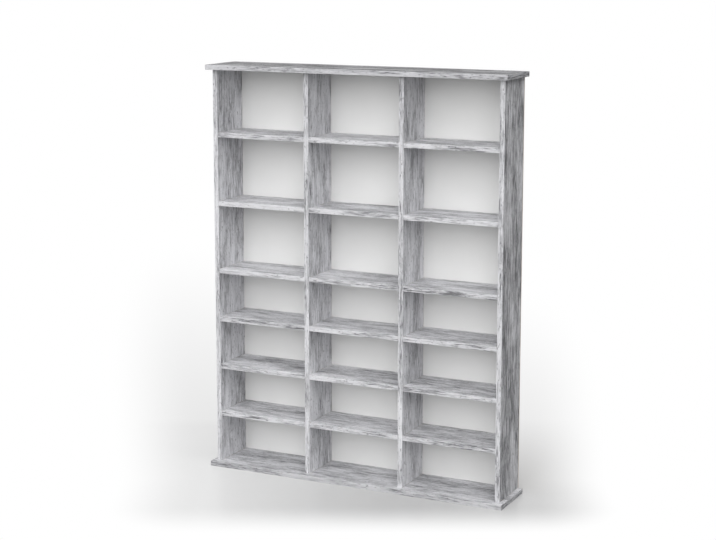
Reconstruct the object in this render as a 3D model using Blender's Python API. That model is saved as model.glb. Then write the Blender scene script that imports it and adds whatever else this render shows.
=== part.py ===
"""A free-standing rack for discs: two side boards, two dividers, a top and a base board, eighteen fixed
shelves, three thin back sheets, and the dowels, cam fittings and screws that hold them together.

Metres, +Z up. The origin is on the floor, under the middle of the rack. The open front faces -Y."""

import math

import bmesh
import bpy
from mathutils import Matrix, Vector

# Boards and sheets
BOARD = 0.016  # thickness of every chipboard piece
BACK_SHEET = 0.003  # thickness of the hardboard back
EDGE_ROUND = 0.0008  # rounding of an edge-banded edge
EDGE_STEPS = 2
SEAT_GAP = 0.0003  # between pieces that touch on the real rack

# Outline
BAY_WIDTH = 0.314  # clear width between two uprights
COVER_DEPTH = 0.185  # front to back of the top and base boards
SIDE_OVERHANG = 0.015  # top and base boards past the side boards
FRONT_OVERHANG = 0.022  # top and base boards past the uprights
SHELF_SETBACK = 0.002  # shelf edge behind the uprights' front edge

# Clear heights of the compartments
LOWEST_CLEAR = 0.154
CD_CLEAR = 0.144
DVD_CLEAR = 0.208
TOPMOST_CLEAR = 0.203
ROW_CLEARS = (LOWEST_CLEAR, CD_CLEAR, CD_CLEAR, CD_CLEAR, DVD_CLEAR, DVD_CLEAR, TOPMOST_CLEAR)

# Wood dowels
DOWEL_RADIUS = 0.004
DOWEL_CHAMFER = 0.001
SHELF_DOWEL_INSET = 0.032  # from the upright's front and rear edges
DOWEL_END_GAP = 0.002  # between two shelf dowels that meet in a divider
TOP_DOWEL_LENGTH = 0.03
TOP_DOWEL_SKIN = 0.006  # wood of the top board above a dowel
TOP_DOWEL_INSET = 0.032
DOWEL_SIDES = 10

# Cam fittings
CAM_RADIUS = 0.0075
CAM_FLOOR = 0.0032  # wood of the upright behind a cam
CAM_DROP = 0.034  # from the upright's upper end down to the cam's axis
CAM_SOCKET_RADIUS = 0.003
CAM_SOCKET_DEPTH = 0.0025
CAP_LIP = 0.0007  # cover cap past the rim of the cam's pocket
CAP_THICKNESS = 0.001
BOLT_THREAD_RADIUS = 0.0025
BOLT_SKIN = 0.005  # wood of the top board above a bolt
BOLT_SHANK_RADIUS = 0.003
BOLT_NECK_RADIUS = 0.0018
BOLT_NECK_LENGTH = 0.005
BOLT_HEAD_LENGTH = 0.0025
BOLT_HEAD_DROP = 0.0015  # head's lower end below the cam's axis
FITTING_SIDES = 16

# Furniture screws through the base board
SCREW_LENGTH = 0.05
SCREW_HEAD_RADIUS = 0.005
SCREW_HEAD_RIM = 0.0003
SCREW_HEAD_LENGTH = 0.003
SCREW_SHANK_RADIUS = 0.0035
SCREW_THREAD_RADIUS = 0.0032
SCREW_TIP_RADIUS = 0.0015
SCREW_TIP_LENGTH = 0.004
SCREW_SUNK = 0.0005  # head below the board's face
SCREW_INSET = 0.037  # from the upright's front and rear edges
SOCKET_RADIUS = 0.0023
SOCKET_DEPTH = 0.0024
SOCKET_SIDES = 6
SCREW_SIDES = 12

# Cutters and turned solids
OVERRUN = 0.002  # how far a cutter reaches out of the wood
POLE_MERGE = 0.00001  # the points of a turned profile on its axis become one

# Names, from left to right
BAY_NAMES = ("left", "middle", "right")
UPRIGHT_NAMES = ("left_side", "left_divider", "right_divider", "right_side")

# The face of each upright that the cam is let into: 1 faces right, -1 faces left
CAM_FACES = {"left_side": 1, "left_divider": -1, "right_divider": -1, "right_side": -1}

# The faces of each upright that shelves butt against
SHELF_FACES = {"left_side": (1,), "left_divider": (-1, 1), "right_divider": (-1, 1), "right_side": (-1,)}

# Places worked out from the sizes above
UPRIGHT_PITCH = BAY_WIDTH + BOARD
BODY_WIDTH = len(BAY_NAMES) * UPRIGHT_PITCH + BOARD
COVER_WIDTH = BODY_WIDTH + 2 * SIDE_OVERHANG
HEIGHT = sum(ROW_CLEARS) + (len(ROW_CLEARS) + 1) * BOARD
FRONT = -COVER_DEPTH / 2 + FRONT_OVERHANG
BACK_REAR = COVER_DEPTH / 2
UPRIGHT_REAR = BACK_REAR - BACK_SHEET - SEAT_GAP
UPRIGHT_DEPTH = UPRIGHT_REAR - FRONT
UPRIGHT_MIDDLE = (FRONT + UPRIGHT_REAR) / 2
SHELF_FRONT = FRONT + SHELF_SETBACK
SHELF_DEPTH = UPRIGHT_REAR - SHELF_FRONT
SHELF_LENGTH = BAY_WIDTH - 2 * SEAT_GAP
UPRIGHT_FOOT = BOARD + SEAT_GAP
UPRIGHT_HEAD = HEIGHT - BOARD - SEAT_GAP
UPRIGHT_HEIGHT = UPRIGHT_HEAD - UPRIGHT_FOOT
SHELF_DOWEL_REACH = (BOARD - DOWEL_END_GAP) / 2  # into an upright
TOP_DOWEL_UP = BOARD - TOP_DOWEL_SKIN  # into the top board
CAM_HEIGHT = UPRIGHT_HEAD - CAM_DROP
CAM_LENGTH = BOARD - CAM_FLOOR - 2 * SEAT_GAP
CAP_RADIUS = CAM_RADIUS + SEAT_GAP + CAP_LIP
CAP_STEM_RADIUS = CAM_SOCKET_RADIUS - SEAT_GAP
BOLT_THREAD_LENGTH = BOARD - BOLT_SKIN

UPRIGHTS = {name: (i - len(BAY_NAMES) / 2) * UPRIGHT_PITCH for i, name in enumerate(UPRIGHT_NAMES)}
BAY_CENTRES = {name: (i - (len(BAY_NAMES) - 1) / 2) * UPRIGHT_PITCH for i, name in enumerate(BAY_NAMES)}

SHARP_ANGLE = math.radians(40)  # steeper edges between faces stay sharp


def clear_scene():
    for thing in list(bpy.data.objects):
        bpy.data.objects.remove(thing)


def make_material(name, colour, roughness, metallic=0.0):
    material = bpy.data.materials.new(name)
    material.use_nodes = True
    shader = material.node_tree.nodes["Principled BSDF"]
    shader.inputs["Base Color"].default_value = (*colour, 1.0)
    shader.inputs["Roughness"].default_value = roughness
    shader.inputs["Metallic"].default_value = metallic
    return material


def shelf_heights():
    """The height of each shelf's middle, lowest first."""
    heights = []
    level = BOARD
    for clear in ROW_CLEARS[:-1]:
        level += clear + BOARD
        heights.append(level - BOARD / 2)
    return heights


def place(name, mesh, material, location=(0.0, 0.0, 0.0)):
    """An object for a finished mesh."""
    piece = bpy.data.objects.new(name, mesh)
    piece.location = location
    mesh.materials.clear()
    mesh.materials.append(material)
    bpy.context.scene.collection.objects.link(piece)
    return piece


def mesh_of(bm, name):
    mesh = bpy.data.meshes.new(name)
    bmesh.ops.recalc_face_normals(bm, faces=bm.faces)
    bm.to_mesh(mesh)
    bm.free()
    return mesh


def board_mesh(name, size, banded):
    """A board about its own centre. Its edges that run along the banded axes are rounded."""
    bm = bmesh.new()
    bmesh.ops.create_cube(bm, size=1.0, matrix=Matrix.Diagonal((*size, 1.0)))
    edges = []
    for edge in bm.edges:
        along = (edge.verts[1].co - edge.verts[0].co).normalized()
        if any(abs(along["XYZ".index(axis)]) > 0.5 for axis in banded):
            edges.append(edge)
    if edges:
        bmesh.ops.bevel(
            bm, geom=edges, offset=EDGE_ROUND, segments=EDGE_STEPS, profile=0.5, affect="EDGES", material=-1
        )
    return mesh_of(bm, name)


def add_turned(bm, profile, sides, matrix):
    """Adds a solid turned about Z from (radius, height) points, lowest first, and puts it by a matrix."""
    others = set(bm.verts)
    points = [(0.0, profile[0][1]), *profile, (0.0, profile[-1][1])]
    verts = [bm.verts.new((radius, 0.0, height)) for radius, height in points]
    edges = [bm.edges.new(pair) for pair in zip(verts[:-1], verts[1:])]
    bmesh.ops.spin(
        bm,
        geom=verts + edges,
        cent=Vector(),
        axis=Vector((0.0, 0.0, 1.0)),
        angle=math.tau,
        steps=sides,
        use_merge=True,
    )
    turned = [vert for vert in bm.verts if vert not in others]
    poles = [vert for vert in turned if vert.co.xy.length < POLE_MERGE]
    bmesh.ops.remove_doubles(bm, verts=poles, dist=POLE_MERGE)
    turned = [vert for vert in bm.verts if vert not in others]
    bmesh.ops.transform(bm, matrix=matrix, verts=turned)


def rod_profile(radius, low, high):
    return [(radius, low), (radius, high)]


def turned_mesh(name, profile, sides, matrices=(Matrix.Identity(4),)):
    """One turned solid at each of the matrices, all in one mesh."""
    bm = bmesh.new()
    for matrix in matrices:
        add_turned(bm, profile, sides, matrix)
    mesh = mesh_of(bm, name)
    mesh.shade_smooth()
    mesh.set_sharp_from_angle(angle=SHARP_ANGLE)
    return mesh


def joined(name, meshes):
    """Meshes that don't touch one another, as one, so that one cut makes all their holes."""
    bm = bmesh.new()
    for mesh in meshes:
        bm.from_mesh(mesh)
    return mesh_of(bm, name)


def combined(name, mesh, steps):
    """The mesh after each (operation, other mesh) of the steps has been done to it."""
    piece = bpy.data.objects.new(name, mesh)
    bpy.context.scene.collection.objects.link(piece)
    helpers = []
    for operation, other in steps:
        helper = bpy.data.objects.new(other.name, other)
        helper.hide_render = True
        helper.display_type = "WIRE"
        bpy.context.scene.collection.objects.link(helper)
        modifier = piece.modifiers.new(other.name, "BOOLEAN")
        modifier.operation = operation
        modifier.solver = "EXACT"
        modifier.object = helper
        helpers.append(helper)
    bpy.context.view_layer.update()
    graph = bpy.context.evaluated_depsgraph_get()
    result = bpy.data.meshes.new_from_object(piece.evaluated_get(graph))
    result.name = name
    for thing in (piece, *helpers):
        bpy.data.objects.remove(thing)
    return result


def screw_profile(clearance, sunk):
    """A furniture screw from its head up, or, with a clearance, the hole that it fits."""
    head_top = SCREW_SUNK + SCREW_HEAD_LENGTH
    tip = SCREW_SUNK + SCREW_LENGTH
    shoulder = SCREW_SHANK_RADIUS - SCREW_THREAD_RADIUS
    return [
        (SCREW_HEAD_RADIUS + clearance, sunk),
        (SCREW_HEAD_RADIUS + clearance, SCREW_SUNK + SCREW_HEAD_RIM),
        (SCREW_SHANK_RADIUS + clearance, head_top + clearance),
        (SCREW_SHANK_RADIUS + clearance, BOARD - 2 * shoulder),
        (SCREW_THREAD_RADIUS + clearance, BOARD - shoulder),
        (SCREW_THREAD_RADIUS + clearance, tip - SCREW_TIP_LENGTH),
        (SCREW_TIP_RADIUS + clearance, tip + clearance),
    ]


def bolt_profile():
    """A cam bolt from the lower end of its head, at the height zero, up to the end of its thread."""
    head_top = BOLT_HEAD_LENGTH
    neck_top = head_top + BOLT_NECK_LENGTH
    shank_top = CAM_DROP + BOLT_HEAD_DROP
    thread_top = shank_top + SEAT_GAP + BOLT_THREAD_LENGTH
    return [
        (BOLT_SHANK_RADIUS, 0.0),
        (BOLT_SHANK_RADIUS, head_top),
        (BOLT_NECK_RADIUS, head_top),
        (BOLT_NECK_RADIUS, neck_top),
        (BOLT_SHANK_RADIUS, neck_top),
        (BOLT_SHANK_RADIUS, shank_top),
        (BOLT_THREAD_RADIUS, shank_top),
        (BOLT_THREAD_RADIUS, thread_top),
    ]


def facing(side):
    """Turns the Z axis of a turned solid to the right for a side of 1, and to the left for -1."""
    return Matrix.Rotation(math.radians(90 * side), 4, "Y")


def cam_place(name):
    """The matrix that puts a fitting into an upright's face, with its Z axis pointing out of the wood."""
    side = CAM_FACES[name]
    return Matrix.Translation((UPRIGHTS[name] + side * BOARD / 2, UPRIGHT_MIDDLE, CAM_HEIGHT)) @ facing(side)


def inset_places(inset):
    """The two places, near the front and near the rear of an upright, at an inset from its edges."""
    return FRONT + inset, UPRIGHT_REAR - inset


def make_base_board(decor):
    """The base board, with countersunk holes for the screws that go up into the uprights."""
    mesh = board_mesh("base_panel", (COVER_WIDTH, COVER_DEPTH, BOARD), "XYZ")
    mesh.transform(Matrix.Translation((0.0, 0.0, BOARD / 2)))
    screws = [Matrix.Translation((x, y, 0.0)) for x in UPRIGHTS.values() for y in inset_places(SCREW_INSET)]
    holes = turned_mesh("screw_holes", screw_profile(SEAT_GAP, -OVERRUN), SCREW_SIDES, screws)
    place("base_panel", combined("base_panel", mesh, [("DIFFERENCE", holes)]), decor)


def make_top_board(decor):
    """The top board, with blind holes in its underside for the dowels and the cam bolts."""
    low = HEIGHT - BOARD
    mesh = board_mesh("top_panel", (COVER_WIDTH, COVER_DEPTH, BOARD), "XYZ")
    mesh.transform(Matrix.Translation((0.0, 0.0, low + BOARD / 2)))
    dowel_ys = inset_places(TOP_DOWEL_INSET)
    dowels = [Matrix.Translation((x, y, low)) for x in UPRIGHTS.values() for y in dowel_ys]
    bolts = [Matrix.Translation((x, UPRIGHT_MIDDLE, low)) for x in UPRIGHTS.values()]
    dowel_hole = rod_profile(DOWEL_RADIUS + SEAT_GAP, -OVERRUN, TOP_DOWEL_UP + SEAT_GAP)
    bolt_hole = rod_profile(BOLT_THREAD_RADIUS + SEAT_GAP, -OVERRUN, BOLT_THREAD_LENGTH + SEAT_GAP)
    holes = [
        turned_mesh("top_dowel_holes", dowel_hole, DOWEL_SIDES, dowels),
        turned_mesh("bolt_holes", bolt_hole, FITTING_SIDES, bolts),
    ]
    place("top_panel", combined("top_panel", mesh, [("DIFFERENCE", joined("holes", holes))]), decor)


def shelf_bores(name):
    """Blind bores for the shelves' dowels in a side board's inner face, or bores right through a divider."""
    faces = SHELF_FACES[name]
    depth = SHELF_DOWEL_REACH + SEAT_GAP
    floor = -BOARD / 2 - OVERRUN if len(faces) > 1 else BOARD / 2 - depth
    profile = rod_profile(DOWEL_RADIUS + SEAT_GAP, floor, BOARD / 2 + OVERRUN)
    matrices = [
        Matrix.Translation((UPRIGHTS[name], y, z)) @ facing(faces[0])
        for z in shelf_heights()
        for y in inset_places(SHELF_DOWEL_INSET)
    ]
    return turned_mesh("shelf_bores", profile, DOWEL_SIDES, matrices)


def make_uprights(decor):
    """The side boards and dividers, with the bores for shelves, top dowels, screws, cam bolts and cams."""
    dowel_bore = rod_profile(DOWEL_RADIUS + SEAT_GAP, TOP_DOWEL_UP - TOP_DOWEL_LENGTH, OVERRUN)
    screw_bore = screw_profile(SEAT_GAP, -OVERRUN)
    bolt_bore = rod_profile(BOLT_SHANK_RADIUS + SEAT_GAP, 0.0, CAM_DROP + OVERRUN)
    pocket = rod_profile(CAM_RADIUS + SEAT_GAP, CAM_FLOOR - BOARD, OVERRUN)
    for name, x in UPRIGHTS.items():
        mesh = board_mesh(name, (BOARD, UPRIGHT_DEPTH, UPRIGHT_HEIGHT), "Z")
        mesh.transform(Matrix.Translation((x, UPRIGHT_MIDDLE, (UPRIGHT_FOOT + UPRIGHT_HEAD) / 2)))
        head = [Matrix.Translation((x, y, UPRIGHT_HEAD)) for y in inset_places(TOP_DOWEL_INSET)]
        foot = [Matrix.Translation((x, y, 0.0)) for y in inset_places(SCREW_INSET)]
        middle = [Matrix.Translation((x, UPRIGHT_MIDDLE, CAM_HEIGHT))]
        bores = [
            shelf_bores(name),
            turned_mesh("head_bores", dowel_bore, DOWEL_SIDES, head),
            turned_mesh("foot_bores", screw_bore, SCREW_SIDES, foot),
            turned_mesh("cam_pocket", pocket, FITTING_SIDES, [cam_place(name)]),
        ]
        steps = [
            ("DIFFERENCE", joined("bores", bores)),
            ("DIFFERENCE", turned_mesh("bolt_bore", bolt_bore, FITTING_SIDES, middle)),
        ]
        place(name, combined(name, mesh, steps), decor)


def make_shelves(decor):
    """Eighteen like shelves, each with the four dowels that are glued into its ends."""
    plain = board_mesh("shelf", (SHELF_LENGTH, SHELF_DEPTH, BOARD), "X")
    middle = (SHELF_FRONT + UPRIGHT_REAR) / 2
    root = SHELF_LENGTH / 2 - OVERRUN
    tip = BAY_WIDTH / 2 + SHELF_DOWEL_REACH
    dowel = [(DOWEL_RADIUS, root), (DOWEL_RADIUS, tip - DOWEL_CHAMFER), (DOWEL_RADIUS - DOWEL_CHAMFER, tip)]
    matrices = [
        Matrix.Translation((0.0, y - middle, 0.0)) @ facing(side)
        for side in (-1, 1)
        for y in inset_places(SHELF_DOWEL_INSET)
    ]
    shelf = combined("shelf", plain, [("UNION", turned_mesh("dowels", dowel, DOWEL_SIDES, matrices))])
    for bay, x in BAY_CENTRES.items():
        for number, z in enumerate(shelf_heights(), start=1):
            place(f"shelf_{bay}_{number}", shelf, decor, (x, middle, z))


def make_back_sheets(white):
    """Three sheets behind the uprights, between the top and base boards, that meet behind the dividers."""
    outer = BODY_WIDTH / 2
    seam = UPRIGHT_PITCH / 2
    spans = {
        "left": (-outer, -seam - SEAT_GAP / 2),
        "middle": (-seam + SEAT_GAP / 2, seam - SEAT_GAP / 2),
        "right": (seam + SEAT_GAP / 2, outer),
    }
    for bay, (low, high) in spans.items():
        sheet = board_mesh(f"back_{bay}", (high - low, BACK_SHEET, UPRIGHT_HEIGHT), "")
        centre = ((low + high) / 2, BACK_REAR - BACK_SHEET / 2, (UPRIGHT_FOOT + UPRIGHT_HEAD) / 2)
        place(f"back_{bay}", sheet, white, centre)


def make_top_dowels(wood):
    """Two loose dowels in the upper end of each upright, chamfered at both ends."""
    high = SEAT_GAP + TOP_DOWEL_UP
    low = high - TOP_DOWEL_LENGTH
    end_radius = DOWEL_RADIUS - DOWEL_CHAMFER
    profile = [
        (end_radius, low),
        (DOWEL_RADIUS, low + DOWEL_CHAMFER),
        (DOWEL_RADIUS, high - DOWEL_CHAMFER),
        (end_radius, high),
    ]
    dowel = turned_mesh("top_dowel", profile, DOWEL_SIDES)
    for name, x in UPRIGHTS.items():
        for end, y in zip(("front", "rear"), inset_places(TOP_DOWEL_INSET)):
            place(f"dowel_{name}_{end}", dowel, wood, (x, y, UPRIGHT_HEAD))


def make_cam_bolts(zinc):
    bolt = turned_mesh("cam_bolt", bolt_profile(), FITTING_SIDES)
    for name, x in UPRIGHTS.items():
        place(f"cam_bolt_{name}", bolt, zinc, (x, UPRIGHT_MIDDLE, CAM_HEIGHT - BOLT_HEAD_DROP))


def make_cam_locks(zinc):
    """The round cams, each with a socket for the driver and a way in from above for the bolt's head."""
    cam = rod_profile(CAM_RADIUS, -SEAT_GAP - CAM_LENGTH, -SEAT_GAP)
    socket = rod_profile(CAM_SOCKET_RADIUS, -SEAT_GAP - CAM_SOCKET_DEPTH, OVERRUN)
    bolt_way = rod_profile(BOLT_SHANK_RADIUS + SEAT_GAP, -BOLT_HEAD_DROP - SEAT_GAP, CAM_RADIUS + OVERRUN)
    for name, x in UPRIGHTS.items():
        mesh = turned_mesh(f"cam_lock_{name}", cam, FITTING_SIDES, [cam_place(name)])
        above = [Matrix.Translation((x, UPRIGHT_MIDDLE, CAM_HEIGHT))]
        holes = [
            turned_mesh("socket", socket, FITTING_SIDES, [cam_place(name)]),
            turned_mesh("bolt_way", bolt_way, FITTING_SIDES, above),
        ]
        lock = combined(f"cam_lock_{name}", mesh, [("DIFFERENCE", joined("holes", holes))])
        place(f"cam_lock_{name}", lock, zinc)


def make_cam_caps(grey_plastic):
    """The flat caps that cover the cams, each held by a stem in the cam's socket."""
    profile = [
        (CAP_STEM_RADIUS, -CAM_SOCKET_DEPTH),
        (CAP_STEM_RADIUS, SEAT_GAP),
        (CAP_RADIUS, SEAT_GAP),
        (CAP_RADIUS, SEAT_GAP + CAP_THICKNESS / 2),
        (CAP_RADIUS - CAP_THICKNESS / 2, SEAT_GAP + CAP_THICKNESS),
    ]
    for name in UPRIGHT_NAMES:
        cap = turned_mesh(f"cam_cap_{name}", profile, FITTING_SIDES, [cam_place(name)])
        place(f"cam_cap_{name}", cap, grey_plastic)


def make_base_screws(steel):
    """The screws that hold the base board, with their hexagon sockets facing down."""
    plain = turned_mesh("screw", screw_profile(0.0, SCREW_SUNK), SCREW_SIDES)
    hexagon = rod_profile(SOCKET_RADIUS, -OVERRUN, SCREW_SUNK + SOCKET_DEPTH)
    screw = combined("screw", plain, [("DIFFERENCE", turned_mesh("socket", hexagon, SOCKET_SIDES))])
    for name, x in UPRIGHTS.items():
        for end, y in zip(("front", "rear"), inset_places(SCREW_INSET)):
            place(f"base_screw_{name}_{end}", screw, steel, (x, y, 0.0))


def main():
    clear_scene()
    decor = make_material("decor_board", (0.42, 0.42, 0.43), 0.55)
    white = make_material("white_hardboard", (0.78, 0.78, 0.78), 0.5)
    beech = make_material("beech", (0.62, 0.45, 0.28), 0.6)
    zinc = make_material("zinc", (0.55, 0.56, 0.58), 0.35, metallic=1.0)
    grey_plastic = make_material("grey_plastic", (0.40, 0.40, 0.41), 0.5)
    make_base_board(decor)
    make_top_board(decor)
    make_uprights(decor)
    make_shelves(decor)
    make_back_sheets(white)
    make_top_dowels(beech)
    make_cam_bolts(zinc)
    make_cam_locks(zinc)
    make_cam_caps(grey_plastic)
    make_base_screws(zinc)


main()
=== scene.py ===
# %% [markdown]
# # A rack for discs, dressed
#
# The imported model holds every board, dowel and screw of the rack at its real size, in metres, with +Z up
# and the open front facing -Y. This script gives those pieces their finish: grey weathered-wood decor,
# white hardboard, zinc, beech and plastic. It adds only the small nails that hold the back on, and then
# sets up a floor, soft light and a camera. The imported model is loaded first, because every later cell
# measures it.

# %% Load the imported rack
import math
import random

import bmesh
import bpy
from mathutils import Matrix, Vector


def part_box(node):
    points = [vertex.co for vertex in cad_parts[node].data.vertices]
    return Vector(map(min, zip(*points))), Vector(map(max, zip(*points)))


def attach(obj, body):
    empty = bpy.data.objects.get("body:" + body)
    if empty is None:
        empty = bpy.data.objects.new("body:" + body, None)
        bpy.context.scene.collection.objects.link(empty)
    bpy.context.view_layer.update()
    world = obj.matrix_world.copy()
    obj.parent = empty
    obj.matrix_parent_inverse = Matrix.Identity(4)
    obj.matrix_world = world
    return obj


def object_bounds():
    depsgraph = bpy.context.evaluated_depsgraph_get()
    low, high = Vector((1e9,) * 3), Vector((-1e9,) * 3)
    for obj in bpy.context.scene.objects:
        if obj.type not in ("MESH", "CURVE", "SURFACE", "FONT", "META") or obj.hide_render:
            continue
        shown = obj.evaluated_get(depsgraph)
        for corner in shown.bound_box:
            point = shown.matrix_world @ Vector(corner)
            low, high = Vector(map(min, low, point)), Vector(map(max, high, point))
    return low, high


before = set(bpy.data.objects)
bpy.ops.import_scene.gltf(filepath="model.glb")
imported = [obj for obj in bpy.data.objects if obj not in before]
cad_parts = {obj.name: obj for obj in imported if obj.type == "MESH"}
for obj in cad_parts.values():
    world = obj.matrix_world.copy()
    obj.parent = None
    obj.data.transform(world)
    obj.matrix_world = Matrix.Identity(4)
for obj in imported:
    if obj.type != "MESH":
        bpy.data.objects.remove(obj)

model_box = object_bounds()
print("loaded", len(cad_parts), "pieces")

# %% [markdown]
# ## The sizes that the looks need
#
# Nothing is typed twice: the rack's own planes are read from its pieces. The rack's outer box, the two
# faces of the back sheets and the thickness of a board are all that the next cells build on.

# %% Measure the rack
UPRIGHTS = ("left_side", "left_divider", "right_divider", "right_side")
COVERS = ("top_panel", "base_panel")
BAYS = ("left", "middle", "right")
LEVELS = range(1, 7)  # the shelves of a bay, from the lowest up
SHELVES = [f"shelf_{bay}_{level}" for bay in BAYS for level in LEVELS]
BACKS = [f"back_{bay}" for bay in BAYS]

rack_low, rack_high = model_box
rack_middle = (rack_low + rack_high) / 2
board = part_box("top_panel")[1].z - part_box("top_panel")[0].z
sheet_front, sheet_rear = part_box("back_middle")[0].y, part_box("back_middle")[1].y
print("rack", [round(side, 4) for side in rack_high - rack_low], "board", round(board, 4))

# %% [markdown]
# ## The camera
#
# A product photograph of tall furniture is taken from a few metres away with a long lens, and the lens is
# shifted a little so that the upright boards stay nearly upright in the picture. Here the camera stands
# to the right of the rack, just above its top, and looks a little down. Its place, turn and lens were
# worked out from the corners and edges of the boards.

# %% Place the camera
CAMERA_PLACE = (2.273, -4.663, 1.691)
CAMERA_TURN = math.radians(26.15)  # to the left of straight ahead
CAMERA_DIP = math.radians(9.39)  # below the horizon
LENS = 83.46  # millimetres, on a sensor 36 mm wide
SENSOR = 36.0
SHIFT = -0.0615  # of the sensor's width

camera_data = bpy.data.cameras.new("camera")
camera_data.sensor_width = SENSOR
camera_data.lens = LENS
camera_data.shift_y = SHIFT
camera = bpy.data.objects.new("camera", camera_data)
camera.location = CAMERA_PLACE
camera.rotation_euler = (math.radians(90) - CAMERA_DIP, 0.0, CAMERA_TURN)
bpy.context.scene.collection.objects.link(camera)
bpy.context.scene.camera = camera
bpy.context.scene.view_settings.view_transform = "Standard"
print("camera", round((camera.location - rack_middle).length, 2), "m from the rack's middle")

# %% [markdown]
# ## Small helpers for materials
#
# A finish is a tree of shader nodes. A few short helpers keep the trees readable. `node` adds one node,
# sets its options and fills its inputs: an input given as another node's output is linked, and any other
# value is typed in. The others are shorthand for the nodes that every finish uses again and again.

# %% Helpers for shader nodes
def node(tree, kind, inputs=(), **options):
    """Adds a node to the tree, with its inputs linked or filled."""
    made = tree.nodes.new("ShaderNode" + kind)
    for option, value in options.items():
        setattr(made, option, value)
    for name, value in dict(inputs).items():
        if isinstance(value, bpy.types.NodeSocket):
            tree.links.new(value, made.inputs[name])
        else:
            made.inputs[name].default_value = value
    return made


def math_node(tree, operation, *values, clamp=False):
    """The result of one sum on numbers."""
    return node(tree, "Math", dict(enumerate(values)), operation=operation, use_clamp=clamp).outputs[0]


def vector_math(tree, operation, first, second):
    """A sum, difference or product of two vectors, or a vector scaled by a number."""
    inputs = {0: first, "Scale" if operation == "SCALE" else 1: second}
    return node(tree, "VectorMath", inputs, operation=operation).outputs["Vector"]


def mapped(tree, place, **inputs):
    """The place as a Mapping node moves, turns and scales it."""
    return node(tree, "Mapping", {"Vector": place, **inputs}).outputs["Vector"]


def ramp(tree, value, low, high, to_low=0.0, to_high=1.0, kind="LINEAR"):
    """The value stretched so that low to high becomes to_low to to_high, and held there beyond that span."""
    inputs = {"Value": value, "From Min": low, "From Max": high, "To Min": to_low, "To Max": to_high}
    return node(tree, "MapRange", inputs, interpolation_type=kind).outputs["Result"]


def blend(tree, share, first, second):
    """Two colours mixed by a share between 0 and 1."""
    inputs = {"Factor": share, 6: first, 7: second}
    return node(tree, "Mix", inputs, data_type="RGBA").outputs[2]


def largest(tree, values):
    """The largest of some values, or 0 where there are none."""
    found = 0.0
    for value in values:
        found = math_node(tree, "MAXIMUM", found, value)
    return found


# %% [markdown]
# ## Noise and greys
#
# Noise is the raw material of all the finishes. Its scale is given as grains in a metre, so that a fibre
# or a pore has its real size. Wood needs noise that is drawn out along the grain, which a Mapping node
# does. Most of the colours here are greys, written as linear light.

# %% Helpers for noise and greys
NOISE_MIDDLE = 0.5
NOISE_SPAN = (0.3, 0.7)  # nearly all of a noise lies in here


def noise_at(tree, place, grains, detail, roughness=0.5):
    """Noise with so many grains in a metre, in every direction."""
    inputs = {"Vector": place, "Scale": grains, "Detail": detail, "Roughness": roughness}
    return node(tree, "TexNoise", inputs).outputs["Fac"]


def grain_noise(tree, place, along, across, detail=2.0, roughness=0.5, shift=0.0):
    """Noise with so many grains in a metre along and across the wood, at a shift of its own."""
    stretched = mapped(tree, place, Location=(shift, shift, shift), Scale=(along, across, across))
    return noise_at(tree, stretched, 1.0, detail, roughness)


def grey(level, blue=0.0):
    """A neutral linear grey, with a touch of blue where it is asked for."""
    return (level, level, level * (1.0 + blue), 1.0)


# %% [markdown]
# ## The frame of a finish
#
# Every finish starts and ends alike. `new_finish` starts a material with the one Principled shader that
# it ends in, and with the place of a point in metres. `set_surface` links what the finish comes to: its
# colour, its roughness and its relief. A pattern that several finishes share is a node group, which
# `new_group` starts.

# %% Helpers for whole finishes
def new_finish(name):
    """A new material, its tree, its shader, and the place of a point on the piece."""
    material = bpy.data.materials.new(name)
    material.use_nodes = True
    tree = material.node_tree
    return material, tree, tree.nodes["Principled BSDF"], node(tree, "TexCoord").outputs["Object"]


def set_surface(tree, shader, colour, roughness, height, strength, reach):
    """Links a finish to its shader. At full strength, a height of 1 stands proud by the reach, in metres."""
    bump = node(tree, "Bump", {"Height": height, "Strength": strength, "Distance": reach})
    links = {"Base Color": colour, "Roughness": roughness, "Normal": bump.outputs["Normal"]}
    for name, value in links.items():
        tree.links.new(value, shader.inputs[name])


def new_group(name, inputs, outputs):
    """A new node group with these sockets, what comes into it and what goes out of it."""
    group = bpy.data.node_groups.new(name, "ShaderNodeTree")
    for way, sockets in (("INPUT", inputs), ("OUTPUT", outputs)):
        for socket, kind in sockets.items():
            group.interface.new_socket(socket, in_out=way, socket_type="NodeSocket" + kind)
    return group, group.nodes.new("NodeGroupInput").outputs, group.nodes.new("NodeGroupOutput").inputs


# %% [markdown]
# ## The layers of the weathered-wood decor
#
# The boards are chipboard under a printed paper: grey, limewashed wood with fine streaks, darker checks
# and pale rubbed patches that all run with the grain. The print could be an image, but noise that is
# squeezed across the grain and drawn out along it gives the same streaks at any distance, and each board
# can take its own stretch of it. The print is built up from broad patches to fine pores, so that it has
# something to show from across a room and from a hand's breadth. The first four layers and the growth
# lines add up to one tone, which picks a colour between dark and pale wood. The others lay lime, checks,
# specks and pores over it.

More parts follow.
